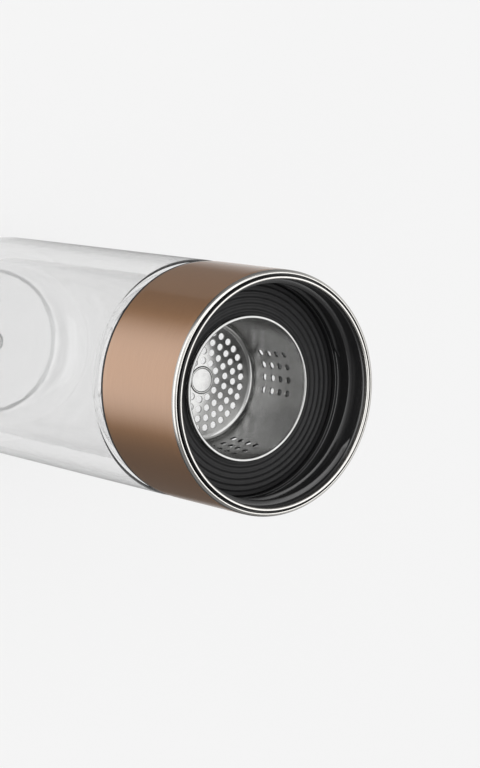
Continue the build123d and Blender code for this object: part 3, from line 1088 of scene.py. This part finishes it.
def mirrored(tree, way, level):
    """That level, but for reflections in clear glass a room that darkens from front to back."""
    path = add(tree, "LightPath").outputs
    clear = add(tree, "Math", {
        0: path["Is Reflection Ray"], 1: path["Is Singular Ray"],
    }, operation="MULTIPLY")
    room = add(tree, "MapRange", {
        "Value": along(tree, way, front_azimuth), "From Min": -1.0, "From Max": 1.0,
        "To Min": glass_room_back, "To Max": glass_room_front,
    })
    return add(tree, "Mix", {"Factor": clear.outputs[0], 2: level, 3: room.outputs[0]}).outputs[0]


# %% [markdown]
# The floor's sheet lies a fiftieth of a millimetre under the foot, because two faces at one height
# would flicker. The ray's kind decides how much of the floor glows and how strongly.

# %% Floor
floor_half, floor_drop = 4.0, 0.02 * mm


def pale_floor(glow_share, dim):
    """A pale floor: mostly an even glow for rays that show it, and diffuse for all the rest."""
    material, tree, output = new_material("pale_studio_floor")
    path = add(tree, "LightPath").outputs
    seen = add(tree, "Math", {0: path["Is Camera Ray"], 1: path["Is Glossy Ray"]}, operation="MAXIMUM")
    seen = add(tree, "Math", {0: seen.outputs[0], 1: path["Is Transmission Ray"]}, operation="MAXIMUM")
    glowing = add(tree, "Mix", {"Factor": blurred(tree), 2: glow_share, 3: 1.0})
    share = add(tree, "Math", {0: seen.outputs[0], 1: glowing.outputs[0]}, operation="MULTIPLY")
    plain = add(tree, "BsdfDiffuse", {"Color": linear("f0f0f0")})
    place = add(tree, "TexCoord").outputs["Object"]
    level = add(tree, "Mix", {"Factor": blurred(tree), 2: 1.0, 3: open_side(tree, place, dim)})
    level = mirrored(tree, place, level.outputs[0])
    glow = add(tree, "Emission", {"Color": linear("f3f3f3"), "Strength": level})
    mix = add(tree, "MixShader", {0: share.outputs[0], 1: plain.outputs[0], 2: glow.outputs[0]})
    tree.links.new(mix.outputs[0], output.inputs["Surface"])
    return material


floor_mesh = bpy.data.meshes.new("studio_floor")
floor_signs = ((-1, -1), (1, -1), (1, 1), (-1, 1))
floor_corners = [(x * floor_half, y * floor_half, -floor_drop) for x, y in floor_signs]
floor_mesh.from_pydata(floor_corners, [], [(0, 1, 2, 3)])
floor_mesh.materials.append(pale_floor(glow_share=0.8, dim=0.13))
floor = bpy.data.objects.new("studio_floor", floor_mesh)
bpy.context.scene.collection.objects.link(floor)

# %% [markdown]
# The world is the same room above the floor: a pale horizon under a slightly darker ceiling, with the
# bright patch of sky for blurred reflections only. Strengths of 1 are white.

# %% World
horizon, ceiling, horizon_height, ceiling_height = 1.0, 0.85, 0.05, 0.75
sky_low, sky_high, sky_right, sky_left, sky_dim, sky_bright = 0.5, 0.75, -0.6, 0.9, 0.3, 1.1


def studio_world(dim):
    """A pale world for rays that show it, and for the rest a pale horizon under a darker ceiling."""
    world = bpy.data.worlds.new("studio")
    bpy.context.scene.world = world
    world.use_nodes = True
    tree = world.node_tree
    tree.nodes.clear()
    way = add(tree, "TexCoord").outputs["Generated"]
    height = add(tree, "SeparateXYZ", {0: way}).outputs["Z"]
    level = add(tree, "MapRange", {
        "Value": height, "From Min": horizon_height, "From Max": ceiling_height,
        "To Min": horizon, "To Max": ceiling,
    }, interpolation_type="SMOOTHSTEP")
    above = add(tree, "MapRange", {"Value": height, "From Min": sky_low, "From Max": sky_high})
    roof = add(tree, "MapRange", {
        "Value": along(tree, way, left_azimuth), "From Min": sky_right, "From Max": sky_left,
        "To Min": sky_dim, "To Max": sky_bright,
    })
    roof = add(tree, "Math", {0: above.outputs[0], 1: roof.outputs[0]}, operation="MULTIPLY")
    sides = add(tree, "Math", {0: open_side(tree, way, dim), 1: roof.outputs[0]}, operation="MAXIMUM")
    side = add(tree, "Mix", {"Factor": blurred(tree), 2: 1.0, 3: sides.outputs[0]})
    level = add(tree, "Math", {0: level.outputs[0], 1: side.outputs[0]}, operation="MULTIPLY")
    level = mirrored(tree, way, level.outputs[0])
    room = add(tree, "Background", {"Color": linear("f0f0f0"), "Strength": level})
    pale = add(tree, "Background", {"Color": linear("f0f0f0"), "Strength": 1.0})
    seen = add(tree, "LightPath").outputs["Is Camera Ray"]
    mix = add(tree, "MixShader", {0: seen, 1: room.outputs[0], 2: pale.outputs[0]})
    add(tree, "OutputWorld", {"Surface": mix.outputs[0]})
    print("world", world.name, "nodes", len(tree.nodes))


studio_world(dim=0.35)

# %% [markdown]
# Three large soft lamps stand round the bottle: one in front, which lights what the camera sees, one
# high behind it for the mouth and the shadow, and one high on the left for the strainer.

# %% Lamps
def matrix_of(side, up, back, place):
    """The matrix of an object that looks against back: three directions and its place as columns."""
    matrix = np.eye(4)
    matrix[:3] = np.column_stack([side, up, back, place])
    return Matrix(matrix.tolist())


def softbox(name, azimuth, elevation, distance, width, height, strength, aim_height=0.1):
    """A soft lamp on a sphere round the bottle, turned to it. Angles in degrees, lengths in metres."""
    a, e = math.radians(azimuth), math.radians(elevation)
    back = np.array([math.cos(a) * math.cos(e), math.sin(a) * math.cos(e), math.sin(e)])
    side = np.cross([0, 0, 1], back)
    side = side / np.linalg.norm(side)
    lamp = bpy.data.lights.new(name, "AREA")
    lamp.shape = "RECTANGLE"
    lamp.size, lamp.size_y = width, height
    lamp.energy = strength * width * height * math.pi
    piece = bpy.data.objects.new(name, lamp)
    piece.matrix_world = matrix_of(side, np.cross(back, side), back, back * distance + (0, 0, aim_height))
    bpy.context.scene.collection.objects.link(piece)
    print(name, "watts", round(lamp.energy, 2))


softbox("key_front", azimuth=172, elevation=28, distance=1.6, width=2.6, height=1.6, strength=1.15)
softbox("top", azimuth=-13, elevation=60, distance=1.6, width=1.1, height=0.9, strength=1.3)
softbox("side_fill", azimuth=82, elevation=62, distance=1.8, width=1.5, height=0.8, strength=1.2)

# %% [markdown]
# The camera looks steeply down at the mouth from two thirds of a metre, and it is rolled so that the
# bottle lies across the picture. Its place, its three directions and its focal length were fitted to
# the ellipses of mouth, collar and strainer in the photo.

# %% Camera
camera_right = np.array([0.8094, 0.0, 0.5872])
camera_up = np.array([0.0780, 0.9911, -0.1075])
camera_forward = np.array([0.5820, -0.1328, -0.8023])
camera_place = np.array([-0.3905, 0.08995, 0.6675])
camera_data = bpy.data.cameras.new("camera")
camera_data.sensor_width, camera_data.lens = 36.0, 118.5
camera_data.clip_start, camera_data.clip_end = 0.01, 20
camera = bpy.data.objects.new("camera", camera_data)
camera.matrix_world = matrix_of(camera_right, camera_up, -camera_forward, camera_place)
bpy.context.scene.collection.objects.link(camera)
bpy.context.scene.camera = camera
bpy.context.scene.view_settings.view_transform = "Standard"
mouth_place = np.array([0, 0, ring_top * mm])
print("camera stands", round(float(np.linalg.norm(camera_place - mouth_place)), 2), "m from the mouth")
